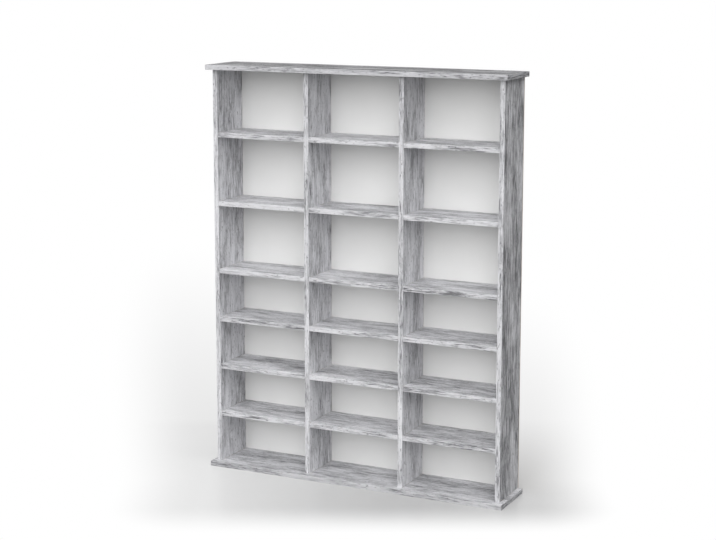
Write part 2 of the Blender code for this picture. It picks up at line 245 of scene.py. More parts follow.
# %% List the layers of the print
LAYERS = {  # grains in a metre along the wood and across it, detail, roughness, and a shift of its own
    "patches": (5.0, 22.0, 3.0, 0.5, 0.0),
    "blotches": (15.0, 60.0, 4.0, 0.6, 30.7),
    "streaks": (13.0, 250.0, 4.0, 0.6, 3.1),
    "fibres": (30.0, 900.0, 3.0, 0.5, 7.7),
    "checks": (24.0, 320.0, 4.0, 0.65, 12.3),
    "rubbing": (14.0, 90.0, 4.0, 0.65, 18.9),
    "specks": (85.0, 240.0, 2.0, 0.5, 41.9),
    "pores": (160.0, 2600.0, 1.0, 0.5, 25.1),
}
TONE_LAYERS = {  # how far a layer's noise reaches about its middle, and how much of the tone it swings
    "patches": (0.18, 0.40),
    "blotches": (0.18, 0.28),
    "streaks": (0.17, 0.60),
    "fibres": (0.18, 0.46),
}
RING_GAP = 0.0062  # metres from one growth line to the next
RING_WANDER = 0.055  # metres that the patches push the growth lines about
RING_SWING = 0.05
DECOR_STOPS = (  # tone, and the colour of the wood there
    (0.0, grey(0.15, 0.045)),
    (0.25, grey(0.38, 0.045)),
    (0.55, grey(0.62, 0.04)),
    (1.0, grey(0.77, 0.03)),
)
LIME_GREY = grey(0.76, 0.03)
LIME_SHARE = 0.32
CHECK_GREY = grey(0.11, 0.05)
CHECK_SHARE = 0.82
SPECK_DEPTH = 0.8  # of a check's
PORE_SHARE = 0.35
MARK_SPANS = {  # the levels of noise at which a mark begins to show and shows in full
    "rubbing": (0.52, 0.66),
    "fibres": (0.35, 0.6),
    "checks": (0.54, 0.61),
    "patches": (0.64, 0.42),
    "specks": (0.62, 0.70),
    "pores": (0.62, 0.74),
}
print(len(LAYERS), "layers in the print")

# %% [markdown]
# ## The ways of the wood
#
# Real grain isn't straight. The place of each point is moved a little to and fro before the layers are
# read, so that the streaks wander, and the broad patches push the growth lines about. The tone then picks
# a colour from a ramp of four greys.

# %% Bend the grain and colour the wood
SWAY_GRAINS = (4.0, 14.0, 14.0)  # in a metre
SWAY = (0.0, 0.008, 0.008)  # metres


def swayed(tree, place):
    """The same place, moved a little to and fro across the grain, so that the streaks wander."""
    stretched = mapped(tree, place, Scale=SWAY_GRAINS)
    noise = node(tree, "TexNoise", {"Vector": stretched, "Scale": 1.0, "Detail": 2.0}).outputs["Color"]
    centred = vector_math(tree, "SUBTRACT", noise, (NOISE_MIDDLE,) * 3)
    return vector_math(tree, "ADD", place, vector_math(tree, "MULTIPLY", centred, SWAY))


def growth_lines(tree, place, patches):
    """Waves across the grain, from -1 to 1, that the patches push about."""
    axes = node(tree, "SeparateXYZ", {"Vector": place}).outputs
    across = math_node(tree, "ADD", axes["Y"], axes["Z"])
    across = math_node(tree, "MULTIPLY_ADD", patches, RING_WANDER, across)
    return math_node(tree, "SINE", math_node(tree, "MULTIPLY", across, math.tau / RING_GAP))


def wood_colour(tree, tone):
    """The colour of the wood at a tone between 0 and 1."""
    colours = node(tree, "ValToRGB", {"Fac": tone})
    stops = colours.color_ramp.elements
    for share, colour in DECOR_STOPS[1:-1]:
        stops.new(share)
    for stop, (share, colour) in zip(stops, DECOR_STOPS):
        stop.position = share
        stop.color = colour
    return colours.outputs["Color"]


print("a growth line every", round(RING_GAP * 1000, 1), "mm")

# %% [markdown]
# ## The decor pattern
#
# The pattern is one node group, in metres, with the grain along X, so that all the boards can share it.
# `Edge` is 1 on an edge band, whose strip of print is cut from elsewhere in the pattern. `Tone` is a
# share of all its colours, `Shade` moves them towards the pale or the dark wood, and `Swing` makes the
# streaks stronger or weaker. Lime lies only where the fibres stand up, and checks open only in the darker
# patches.

# %% Make the decor pattern
DECOR_INPUTS = {"Place": "Vector", "Edge": "Float", "Tone": "Float", "Shade": "Float", "Swing": "Float"}
DECOR_OUTPUTS = {"Colour": "Color", "Roughness": "Float", "Height": "Float"}
BAND_SLIP = (0.37, 0.61, 0.83)  # metres from a board's stretch of print to its bands' stretch
MIDDLE_TONE = 0.5  # of wood whose layers cancel out
PRINT_ROUGHNESS = (0.62, 0.48)  # of dark wood and of pale
PRINT_RISE = 0.6  # how high the pale wood stands, as a share of a check's depth


def make_decor_pattern():
    """The node group of the print, from the sway of the grain to the colour, roughness and relief."""
    group, source, sink = new_group("weathered_wood_print", DECOR_INPUTS, DECOR_OUTPUTS)
    slip = vector_math(group, "SCALE", BAND_SLIP, source["Edge"])
    place = swayed(group, vector_math(group, "ADD", source["Place"], slip))
    layers = {name: grain_noise(group, place, *layer) for name, layer in LAYERS.items()}
    marks = {name: ramp(group, layers[name], *span) for name, span in MARK_SPANS.items()}

    tone = 0.0
    for name, (reach, weight) in TONE_LAYERS.items():
        span = (NOISE_MIDDLE - reach, NOISE_MIDDLE + reach)
        tone = math_node(group, "ADD", tone, ramp(group, layers[name], *span, -weight / 2, weight / 2))
    rings = growth_lines(group, place, layers["patches"])
    tone = math_node(group, "MULTIPLY_ADD", rings, RING_SWING, tone)
    middle = math_node(group, "ADD", source["Shade"], MIDDLE_TONE)
    tone = math_node(group, "MULTIPLY_ADD", tone, source["Swing"], middle, clamp=True)

    lime = math_node(group, "MULTIPLY", marks["rubbing"], marks["fibres"])
    lime = math_node(group, "MULTIPLY", lime, LIME_SHARE)
    colour = blend(group, lime, wood_colour(group, tone), LIME_GREY)
    dark = math_node(group, "MULTIPLY", marks["checks"], marks["patches"])
    dark = math_node(group, "MAXIMUM", dark, math_node(group, "MULTIPLY", marks["specks"], SPECK_DEPTH))
    colour = blend(group, math_node(group, "MULTIPLY", dark, CHECK_SHARE), colour, CHECK_GREY)
    colour = blend(group, math_node(group, "MULTIPLY", marks["pores"], PORE_SHARE), colour, CHECK_GREY)

    group.links.new(vector_math(group, "SCALE", colour, source["Tone"]), sink["Colour"])
    group.links.new(ramp(group, tone, 0.0, 1.0, *PRINT_ROUGHNESS), sink["Roughness"])
    rise = math_node(group, "SUBTRACT", math_node(group, "MULTIPLY", tone, PRINT_RISE), dark)
    group.links.new(rise, sink["Height"])
    return group


decor_pattern = make_decor_pattern()
print("decor pattern of", len(decor_pattern.nodes), "nodes")

# %% [markdown]
# ## The chipboard core
#
# Under the print is chipboard. It shows where no band covers it: on the boards' ends and rear edges,
# which the rack hides, and inside the bores. Chips of two to four millimetres lie side by side,
# honey-coloured with darker bark flecks, and the sawn surface is rough. Cells drawn out a little make the
# chips, and each cell has a shade of its own.

# %% Make the chipboard pattern
CHIP_COLOURS = ((0.42, 0.29, 0.17, 1.0), (0.66, 0.52, 0.35, 1.0))
BARK = (0.16, 0.09, 0.05, 1.0)
CHIPS = (230.0, 330.0, 420.0)  # in a metre along each axis
BARK_CHIPS_FROM = 0.88  # so about one chip in eight is bark
CHIP_RIM = (0.45, 0.75)  # from a chip's middle, in chips: where its dark rim begins and is darkest
RIM_SHARE = 0.6
WOBBLE_GRAINS = 180.0  # in a metre
WOBBLE = 0.004  # metres


def make_core_pattern():
    """The node group of the bare chipboard: chips, some of them bark, with dark rims."""
    outputs = {"Colour": "Color", "Height": "Float"}
    group, source, sink = new_group("chipboard_core", {"Place": "Vector"}, outputs)
    wobble = {"Vector": source["Place"], "Scale": WOBBLE_GRAINS, "Detail": 3.0}
    wobble = vector_math(group, "SCALE", node(group, "TexNoise", wobble).outputs["Color"], WOBBLE)
    place = vector_math(group, "ADD", source["Place"], wobble)
    cells = node(group, "TexVoronoi", {"Vector": mapped(group, place, Scale=CHIPS), "Scale": 1.0}).outputs
    shade = node(group, "SeparateXYZ", {"Vector": cells["Color"]}).outputs
    colour = blend(group, shade["X"], *CHIP_COLOURS)
    colour = blend(group, math_node(group, "GREATER_THAN", shade["Y"], BARK_CHIPS_FROM), colour, BARK)
    colour = blend(group, ramp(group, cells["Distance"], *CHIP_RIM, 0.0, RIM_SHARE), colour, BARK)
    group.links.new(colour, sink["Colour"])
    group.links.new(math_node(group, "SUBTRACT", shade["Z"], cells["Distance"]), sink["Height"])
    return group


core_pattern = make_core_pattern()
print("core pattern of", len(core_pattern.nodes), "nodes")

# %% [markdown]
# ## Beech for the dowels
#
# Dowels are turned from steamed beech: pinkish tan, with fine growth lines and short dark flecks that
# both run along the rod. The colour is made by a function of its own, because loose dowels and the dowels
# that are glued into the shelves both take it.

# %% Make the beech colour
GRAIN_ALONG = (0.0, 0.0, 0.0)
GRAIN_UP = (0.0, math.radians(90), 0.0)  # turns a pattern so that its grain follows Z
GRAIN_DEEP = (0.0, 0.0, math.radians(90))  # and here Y
DARK_BEECH = (0.50, 0.31, 0.17, 1.0)
PALE_BEECH = (0.68, 0.47, 0.29, 1.0)
FLECK_BROWN = (0.33, 0.18, 0.09, 1.0)
FLECK_SHARE = 0.6
RING_LAYER = (20.0, 500.0, 3.0)  # grains in a metre along the rod and across it, and detail
FLECK_LAYER = (260.0, 1900.0, 2.0, 0.5, 5.0)  # the same, roughness, and a shift
RING_SPAN = (0.35, 0.65)
FLECK_SPAN = (0.60, 0.68)


def beech_wood(tree, place, turn):
    """The colour of beech, and its growth lines for roughness and bump."""
    turned = mapped(tree, place, Rotation=turn)
    rings = grain_noise(tree, turned, *RING_LAYER)
    flecks = grain_noise(tree, turned, *FLECK_LAYER)
    colour = blend(tree, ramp(tree, rings, *RING_SPAN), DARK_BEECH, PALE_BEECH)
    return blend(tree, ramp(tree, flecks, *FLECK_SPAN, 0.0, FLECK_SHARE), colour, FLECK_BROWN), rings


print("growth lines of beech", RING_LAYER[1], "in a metre")

# %% [markdown]
# ## Where a point lies on its board
#
# A board is printed on its faces, banded on some edges and bare on others, so its finish has to know on
# which side of the board a point is. Separate materials for the faces could do it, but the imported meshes
# are left as they are. The shader works it out instead: the distances from a point to the six sides of
# its board's box tell the sides apart, and also how near the point is to an arris. A shelf's dowels stand
# out of its ends, so its box is taken at its upper face, where there are none. What lies outside that box
# is a dowel.

# %% Measure from a board's sides
SIDES = ("-X", "-Y", "-Z", "+X", "+Y", "+Z")
SKIN = 0.0003  # anything deeper than this inside a board is cut into its core


def own_box(name):
    """A board's box. A shelf's dowels stand out of its ends, but not as high up as its upper face."""
    low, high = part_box(name)
    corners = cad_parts[name].data.vertices
    ends = [corner.co.x for corner in corners if name not in SHELVES or corner.co.z > high.z - SKIN]
    return Vector((min(ends), low.y, low.z)), Vector((max(ends), high.y, high.z))


def side_distances(tree, place, box):
    """How far a point is inside each side of its board's box, its depth, and its distance to an arris.

    A point on a face has one of its three distances near 0. With the largest of them taken off as well,
    what is left of their sum is the distance to the nearest arris.
    """
    from_low = vector_math(tree, "SUBTRACT", place, box[0])
    from_high = vector_math(tree, "SUBTRACT", box[1], place)
    nearest = vector_math(tree, "MINIMUM", from_low, from_high)
    found = (from_low, from_high, nearest)
    low, high, near = (node(tree, "SeparateXYZ", {"Vector": each}).outputs for each in found)
    total = math_node(tree, "ADD", math_node(tree, "ADD", near[0], near[1]), near[2])
    depth = math_node(tree, "MINIMUM", math_node(tree, "MINIMUM", near[0], near[1]), near[2])
    arris = math_node(tree, "SUBTRACT", total, largest(tree, near))
    return dict(zip(SIDES, (*low, *high))), depth, arris


def near_sides(tree, distances, sides, reach):
    """1 where a point is within the reach of one of the sides."""
    return largest(tree, [math_node(tree, "LESS_THAN", distances[side], reach) for side in sides])


shelf_box = own_box(SHELVES[0])
print("a shelf without its dowels is", round(shelf_box[1].x - shelf_box[0].x, 4), "m long")

# %% [markdown]
# ## A stretch of the print for each board
#
# The saw cuts every board from another part of a big printed panel, so no streak runs on from one board
# into the next, and one board is a little paler than another. Each board therefore gets a material of its
# own, which shifts the pattern by a random but seeded step, and turns it so that the grain runs up the
# uprights and along the shelves. On the short ends of the top and base the band's grain runs along the
# band. How pale and how lively the print is on each kind of board was set by comparing renders with a
# photograph, so the tones hold painted shade and light as well as print. The right side's outer face,
# the top board's upper face and the short ends of the top and base are printed darker as painted shade,
# and the faces of the left side and the dividers are printed paler as painted light.

# %% Cut a stretch of the print
CUT_SPAN = 40.0  # metres of pattern that the boards' stretches are drawn from
TONE_SPREAD = 0.03
PRINT_TONES_AND_PAINTED_SHADE = {  # tone, shade and swing of a board's faces, its long bands and the bands on its short ends
    # painted shade: the right side's outer face is printed darker than the other uprights
    "right_side": ((0.985, -0.12, 1.45), (0.88, 0.16, 1.2)),
    # painted light: the faces of the left side and the dividers are printed paler than the shelves
    "side": ((1.10, 0.07, 1.05), (0.88, 0.16, 1.2)),
    "divider": ((1.10, 0.07, 1.05), (0.88, 0.16, 1.2)),
    "shelf": ((1.01, 0.04, 1.15), (0.83, 0.18, 1.8)),
    # painted shade: the top board's upper face and its short ends are printed darker
    "top_panel": ((0.52, -0.15, 1.55), (0.76, 0.16, 0.95), (0.76, -0.12, 1.35)),
    # painted shade: the base's short ends are printed darker than its top
    "base_panel": ((0.99, 0.01, 1.1), (0.70, 0.16, 1.3), (0.84, -0.12, 1.4)),
}

cuts = random.Random(11)


def by_mask(tree, values, masks):
    """The first value, and each next one where its mask is 1."""
    result = values[0]
    for value, mask in zip(values[1:], masks):
        result = ramp(tree, mask, 0.0, 1.0, result, value)
    return result


def board_print_and_shade(tree, name, place, turn, bands, ends):
    """One board's own stretch of the print, in tones that also hold painted shade and light.

    The masks are 1 on its bands and on its short ends' bands.
    """
    shift = [cuts.uniform(-CUT_SPAN, CUT_SPAN) for _ in range(3)]
    along = mapped(tree, place, Location=shift, Rotation=turn)
    deep = mapped(tree, place, Location=shift, Rotation=GRAIN_DEEP)
    step = vector_math(tree, "SCALE", vector_math(tree, "SUBTRACT", deep, along), ends)
    turned = vector_math(tree, "ADD", along, step)
    kind = next(kind for kind in PRINT_TONES_AND_PAINTED_SHADE if kind in name)
    tone, shade, swing = (by_mask(tree, values, (bands, ends)) for values in zip(*PRINT_TONES_AND_PAINTED_SHADE[kind]))
    tone = math_node(tree, "MULTIPLY", tone, cuts.uniform(1.0 - TONE_SPREAD, 1.0 + TONE_SPREAD))
    inputs = {"Place": turned, "Edge": bands, "Tone": tone, "Shade": shade, "Swing": swing}
    return node(tree, "Group", inputs, node_tree=decor_pattern).outputs


# %% [markdown]
# ## The finish of a board
#
# The edges that show are covered with an ironed-on band of the same print, and a hairline of glue shows
# where the band meets the board's faces. The arrises are paler in patches here and there. Bare edges and
# bores show the core, and the dowels in a shelf's ends are beech. The printed paper is dull, so its gloss
# is set low.

# %% Build the finish of a board
EDGE_BAND = 0.0008  # thickness of the edge band, and so of the strip that shows it
GLUE_LINE = 0.00022  # width of the dark line beside it
GLUE_GREY = grey(0.12)
GLUE_SHARE = 0.55
PALE_ARRIS_WIDTH = 0.0022  # how far the pale patches reach from an arris
PALE_ARRIS_NOISE = (70.0, 4.0, 0.65)  # grains in a metre, detail and roughness
PALE_ARRIS_SPAN = (0.46, 0.62)
PALE_ARRIS_SHARE = 0.5
CHIP_RISE = 2.0  # relief of the bare core, where a check in the print is 1 deep
BOARD_RELIEF = (0.35, 0.0003)  # strength, and metres
PAPER_GLOSS = 0.08


def bare_core(tree, distances, depth, bands, bare):
    """1 on a board's bare sides, outside the bands, and in its bores."""
    core = near_sides(tree, distances, bare, SKIN)
    core = math_node(tree, "MULTIPLY", core, math_node(tree, "SUBTRACT", 1.0, bands))
    return math_node(tree, "MAXIMUM", core, math_node(tree, "GREATER_THAN", depth, SKIN))


def decor_finish(name, turn, banded, bare):
    """The finish of one board: its bands are on the banded sides and its core shows on the bare ones."""
    material, tree, shader, place = new_finish(f"decor_{name}")
    distances, depth, arris = side_distances(tree, place, own_box(name))
    bands = near_sides(tree, distances, banded, EDGE_BAND)
    ends = near_sides(tree, distances, [side for side in banded if "X" in side], EDGE_BAND)
    core = bare_core(tree, distances, depth, bands, bare)
    glue = (EDGE_BAND + GLUE_LINE / 2, GLUE_LINE / 2)
    lines = largest(tree, [math_node(tree, "COMPARE", distances[side], *glue) for side in banded])
    # the print, with its kind's tones, which hold painted shade and light
    printed = board_print_and_shade(tree, name, place, turn, bands, ends)
    chips = node(tree, "Group", {"Place": place}, node_tree=core_pattern).outputs

    # paler in patches within a few millimetres of every arris
    arris_patches = ramp(tree, noise_at(tree, place, *PALE_ARRIS_NOISE), *PALE_ARRIS_SPAN, 0.0, PALE_ARRIS_SHARE)
    pale_arris = math_node(tree, "MULTIPLY", ramp(tree, arris, PALE_ARRIS_WIDTH, 0.0), arris_patches)
    colour = blend(tree, pale_arris, printed["Colour"], LIME_GREY)
    colour = blend(tree, math_node(tree, "MULTIPLY", lines, GLUE_SHARE), colour, GLUE_GREY)
    colour = blend(tree, core, colour, chips["Colour"])
    if name in SHELVES:
        dowel = math_node(tree, "LESS_THAN", depth, -SKIN)
        colour = blend(tree, dowel, colour, beech_wood(tree, place, GRAIN_ALONG)[0])

    roughness = math_node(tree, "MAXIMUM", printed["Roughness"], core, clamp=True)
    rise = math_node(tree, "SUBTRACT", printed["Height"], lines)
    core_rise = math_node(tree, "MULTIPLY", core, CHIP_RISE)
    rise = math_node(tree, "MULTIPLY_ADD", core_rise, chips["Height"], rise)
    set_surface(tree, shader, colour, roughness, rise, *BOARD_RELIEF)
    shader.inputs["Specular IOR Level"].default_value = PAPER_GLOSS
    return material


print("edge band", EDGE_BAND * 1000, "mm, glue line", GLUE_LINE * 1000, "mm")

# %% [markdown]
# ## The boards in their decor
#
# All 24 boards are dressed in one go. The uprights stand between the covers, with the back on their rear
# edges, so only their front edges are banded. A shelf's ends are bare too, because they butt against the
# uprights. The top and base are seen from all sides, so they are banded all round.

# %% Dress the boards
BOARDS = (  # boards, turn of their grain, banded sides and bare sides
    (UPRIGHTS, GRAIN_UP, ("-Y",), ("-Z", "+Z", "+Y")),
    (SHELVES, GRAIN_ALONG, ("-Y",), ("-X", "+X", "+Y")),
    (COVERS, GRAIN_ALONG, ("-X", "+X", "-Y", "+Y"), ()),
)


def dress(name, material):
    """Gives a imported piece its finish. Only its material slots change."""
    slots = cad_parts[name].data.materials
    slots.clear()
    slots.append(material)


for names, turn, banded, bare in BOARDS:
    for name in names:
        dress(name, decor_finish(name, turn, banded, bare))
print("decor on", sum(len(names) for names, *_ in BOARDS), "boards")

# %% [markdown]
# ## White hardboard for the back
#
# The back is thin fibreboard, lacquered white on the side that shows and left raw on the side towards the
# wall. The lacquer has a faint orange-peel texture and a slight unevenness. The raw side is brown, with
# short dark and pale fibres. One material serves both: the depth inside the sheet says which side a point
# is on.

# %% Finish the back sheets
LACQUER = 0.0004  # thickness of the white side's coat
LACQUER_WHITES = (grey(0.67, -0.008), grey(0.70, -0.008))
FIBRE_BROWNS = ((0.20, 0.115, 0.062, 1.0), (0.40, 0.26, 0.155, 1.0))
STAIN_BROWN = (0.25, 0.15, 0.085, 1.0)
STAIN_SHARE = 0.35
STAIN_SPAN = (0.35, 0.75)
CLOUD_NOISE = (6.0, 3.0)  # grains in a metre, and detail
PEEL_NOISE = (700.0, 1.0)
FIBRE_GRAINS = (900.0, 900.0, 420.0)  # in a metre along each axis
FIBRE_DETAIL = (4.0, 0.7)  # detail and roughness
FIBRE_SPAN = (0.35, 0.68)
HARDBOARD_RELIEF = (0.25, 0.0002)  # strength, and metres
LACQUER_ROUGHNESS = 0.42
RAW_ROUGHNESS = 0.85
PEEL_RISE = 0.3  # of a raw fibre's


def hardboard_finish():
    """White lacquer near the front of a sheet, and brown fibres behind it."""
    material, tree, shader, place = new_finish("white_hardboard")
    depth = node(tree, "SeparateXYZ", {"Vector": place}).outputs["Y"]
    raw = math_node(tree, "GREATER_THAN", depth, sheet_front + LACQUER)
    cloud = noise_at(tree, place, *CLOUD_NOISE)
    peel = noise_at(tree, place, *PEEL_NOISE)
    fibres = noise_at(tree, mapped(tree, place, Scale=FIBRE_GRAINS), 1.0, *FIBRE_DETAIL)
    white = blend(tree, ramp(tree, cloud, *NOISE_SPAN), *LACQUER_WHITES)
    brown = blend(tree, ramp(tree, fibres, *FIBRE_SPAN), *FIBRE_BROWNS)
    brown = blend(tree, ramp(tree, cloud, *STAIN_SPAN, 0.0, STAIN_SHARE), brown, STAIN_BROWN)
    roughness = ramp(tree, raw, 0.0, 1.0, LACQUER_ROUGHNESS, RAW_ROUGHNESS)
    rise = math_node(tree, "MULTIPLY_ADD", peel, PEEL_RISE, math_node(tree, "MULTIPLY", fibres, raw))
    set_surface(tree, shader, blend(tree, raw, white, brown), roughness, rise, *HARDBOARD_RELIEF)
    return material


back_finish = hardboard_finish()
for name in BACKS:
    dress(name, back_finish)
print("hardboard on", len(BACKS), "sheets")

# %% [markdown]
# ## Zinc, beech and the cover caps
#
# The fittings are mostly hidden, but they are real pieces and are seen when the rack is taken apart. The
# cams are cast zinc, and the bolts and screws are steel with a bright zinc coat, which clouds a little.
# The loose dowels stand upright, and so does their grain. The caps are thin plastic discs with the same
# print as the boards, so they almost vanish on them.

# %% Finish the fittings
ZINC_GREYS = ((0.52, 0.54, 0.57, 1.0), (0.70, 0.71, 0.72, 1.0))
ZINC_CLOUD = (260.0, 3.0)  # grains in a metre, and detail
ZINC_GRIT = (2600.0, 2.0)
ZINC_ROUGHNESS = (0.42, 0.26)
BEECH_ROUGHNESS = (0.6, 0.7)
CAP_PRINT = {"Edge": 0.0, "Tone": 0.97, "Shade": 0.03, "Swing": 0.8}
CAP_GRAIN = (1500.0, 2.0)
CAP_ROUGHNESS = (0.34, 0.44)
SMOOTH_RELIEF = (0.2, 0.0001)  # strength, and metres
BEECH_RELIEF = (0.3, 0.0002)


def zinc_finish():
    """Bright zinc that clouds a little: the paler it is, the smoother."""
    material, tree, shader, place = new_finish("zinc_plate")
    cloud = noise_at(tree, place, *ZINC_CLOUD)
    grit = noise_at(tree, place, *ZINC_GRIT)
    colour = blend(tree, ramp(tree, cloud, *NOISE_SPAN), *ZINC_GREYS)
    roughness = ramp(tree, cloud, *NOISE_SPAN, *ZINC_ROUGHNESS)
    set_surface(tree, shader, colour, roughness, grit, *SMOOTH_RELIEF)
    shader.inputs["Metallic"].default_value = 1.0
    return material


def beech_finish():
    """Turned beech, with its grain upright."""
    material, tree, shader, place = new_finish("beech")
    colour, rings = beech_wood(tree, place, GRAIN_UP)
    roughness = ramp(tree, rings, *NOISE_SPAN, *BEECH_ROUGHNESS)
    set_surface(tree, shader, colour, roughness, rings, *BEECH_RELIEF)
    return material


def printed_plastic_finish():
    """The boards' print on smooth plastic, with its grain upright."""
    material, tree, shader, place = new_finish("printed_plastic")
    inputs = {"Place": mapped(tree, place, Rotation=GRAIN_UP), **CAP_PRINT}
    colour = node(tree, "Group", inputs, node_tree=decor_pattern).outputs["Colour"]
    grain = noise_at(tree, place, *CAP_GRAIN)
    roughness = ramp(tree, grain, *NOISE_SPAN, *CAP_ROUGHNESS)
    set_surface(tree, shader, colour, roughness, grain, *SMOOTH_RELIEF)
    return material


zinc, beech, cap_finish = zinc_finish(), beech_finish(), printed_plastic_finish()
FITTINGS = {"cam_bolt": zinc, "cam_lock": zinc, "base_screw": zinc, "dowel_": beech, "cam_cap": cap_finish}
for start, finish in FITTINGS.items():
    fittings = [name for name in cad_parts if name.startswith(start)]
    for name in fittings:
        dress(name, finish)
    print(len(fittings), "pieces", start.rstrip("_"), "in", finish.name)

# %% [markdown]
# ## One nail
#
# The back sheets are nailed on with short nails whose flat, slightly domed heads stand a hair proud of
# the sheet. Half of a nail's outline, from its tip to the middle of its head, is spun once round its
# axis. That is quicker than joining a cylinder to a disc, and the shank runs into the head without a gap.

# %% Spin a nail
HEAD_RADIUS = 0.0015
HEAD_RISE = 0.0003
HEAD_DOME = 0.00015
SHANK_RADIUS = 0.00055
TIP_RADIUS = SHANK_RADIUS * 0.1
TIP_LENGTH = SHANK_RADIUS * 3
DOME_RADIUS = HEAD_RADIUS * 0.75  # where the head's dome begins to flatten
CROWN_RADIUS = HEAD_RADIUS * 0.3
NAIL_LENGTH = 0.013
NAIL_SIDES = 12


def nail_mesh():
    """One nail with its head's underside on the sheet's rear, at the origin, pointing along -Y."""
    bm = bmesh.new()
    outline = (
        (TIP_RADIUS, -NAIL_LENGTH),
        (SHANK_RADIUS, -NAIL_LENGTH + TIP_LENGTH),
        (SHANK_RADIUS, 0.0),
        (HEAD_RADIUS, 0.0),
        (HEAD_RADIUS, HEAD_RISE - HEAD_DOME),
        (DOME_RADIUS, HEAD_RISE - HEAD_DOME * 0.3),
        (CROWN_RADIUS, HEAD_RISE),
    )
    profile = [bm.verts.new((radius, depth, 0.0)) for radius, depth in outline]
    edges = [bm.edges.new(pair) for pair in zip(profile, profile[1:])]
    turn = {"cent": (0, 0, 0), "axis": (0, 1, 0), "angle": math.tau, "steps": NAIL_SIDES, "use_merge": True}
    bmesh.ops.spin(bm, geom=profile + edges, **turn)
    bmesh.ops.holes_fill(bm, edges=[edge for edge in bm.edges if edge.is_boundary])
    bmesh.ops.recalc_face_normals(bm, faces=bm.faces)
    mesh = bpy.data.meshes.new("nail")
    bm.to_mesh(mesh)
    bm.free()
    return mesh


one_nail = nail_mesh()
print("nail of", len(one_nail.polygons), "faces")

# %% [markdown]
# ## Nails for the back
#
# The sheets are nailed to the rear edges of the uprights and shelves, about every 110 mm. Over a divider
# two sheets meet, so two rows of nails run there, one on each side of the joint. The one nail is copied
# to all its places, each a little off its mark and turned at random. The nails of one sheet are one
# piece, as they are driven together.

# %% Nail the back on
NAIL_STEP = 0.110
JOINT_MARGIN = 0.004  # from a nail to the edge of its sheet over a divider
SHELF_NAIL_SHARES = (0.3, 0.7)  # of the bay's width
SLIP = 0.0004  # how far a nail may be off its mark

hammer = random.Random(5)


def nail_places(sheet):
    """Where the nails of one sheet go: up its two long edges and across the rear of each shelf."""
    low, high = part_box(sheet)
    steps = round((high.z - low.z) / NAIL_STEP)
    places = []
    for x, inwards in ((low.x, 1), (high.x, -1)):
        on_divider = rack_low.x + board * 2 < x < rack_high.x - board * 2
        row = x + inwards * (JOINT_MARGIN if on_divider else board / 2)
        places += [(row, low.z + (step + 0.5) * (high.z - low.z) / steps) for step in range(steps)]
    bay = sheet.removeprefix("back_")
    for level in LEVELS:
        shelf_low, shelf_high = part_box(f"shelf_{bay}_{level}")
        height = (shelf_low.z + shelf_high.z) / 2
        width = shelf_high.x - shelf_low.x
        places += [(shelf_low.x + share * width, height) for share in SHELF_NAIL_SHARES]
    return places


def add_piece(name, bm, material):
    """Makes an object of a bmesh and puts it in the scene."""
    mesh = bpy.data.meshes.new(name)
    bm.to_mesh(mesh)
    bm.free()
    mesh.materials.append(material)
    piece = bpy.data.objects.new(name, mesh)
    bpy.context.scene.collection.objects.link(piece)
    return piece


for sheet in BACKS:
    bm = bmesh.new()
    for x, z in nail_places(sheet):
        first = len(bm.verts)
        bm.from_mesh(one_nail)
        bm.verts.ensure_lookup_table()
        slip_x, slip_z = hammer.uniform(-SLIP, SLIP), hammer.uniform(-SLIP, SLIP)
        turn = Matrix.Rotation(hammer.uniform(0.0, math.tau), 4, "Y")
        place = Matrix.Translation((x + slip_x, sheet_rear, z + slip_z)) @ turn
        bmesh.ops.transform(bm, matrix=place, verts=bm.verts[first:])
    nails = add_piece(f"nails_{sheet}", bm, zinc)
    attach(nails, "root")
    triangles = sum(len(face.vertices) - 2 for face in nails.data.polygons)
    print(sheet, "nails", len(nail_places(sheet)), "triangles", triangles)

# %% [markdown]
# ## What shows as white
#
# The background of a product photograph is plain white. More light could make it so, but would wash out
# the rack. Here white is a colour that the floor and the room show where they are looked at, straight on
# and mirrored in a gloss, and it throws no extra light on the rack. The Light Path node tells the two
# apart.

# %% Tell looking from lighting
WHITE = grey(1.0)


def only_looked_at(tree):
    """1 for what is seen straight on, in a gloss or through glass, and 0 for light that falls on things."""
    path = node(tree, "LightPath").outputs
    return largest(tree, [path["Is Camera Ray"], path["Is Glossy Ray"], path["Is Transmission Ray"]])


# %% [markdown]
# ## Where the floor turns white
#
# Near the rack the floor is grey and shows its shadow. Further off it fades to the white background: soon
# in front, slowly behind, and over a hand's breadth or two at the sides. Three ramps say how far along
# each of these fades a point is, and the length of the three together rounds off the corners, as a
# vignette does. A haze of white lies over the shade behind the rack and at its left end.

# %% Shape the shade on the floor
ACROSS = (math.cos(CAMERA_TURN), math.sin(CAMERA_TURN), 0.0)  # the camera's own right
AWAY = (-math.sin(CAMERA_TURN), math.cos(CAMERA_TURN), 0.0)  # and straight ahead of it
SIDE_FADE = (0.52, 0.80)  # metres from the rack's middle: where the floor begins and ends to turn white
FRONT_FADE = (0.26, 0.52)
REAR_FADE = (0.25, 4.60)
SPREAD = 0.22  # how much wider the shade is for each metre further back
LEAN = 1.6  # how much sooner the shade ends behind the rack's right end than behind its middle
HAZE = (0.0, 0.56)  # share of white over the shade in front of the rack, and well behind it
HAZE_SPAN = (-0.15, 0.70)
LEFT_HAZE = (0.50, 0.0)  # the same at the rack's left end and at its middle
LEFT_HAZE_SPAN = (-0.50, 0.05)


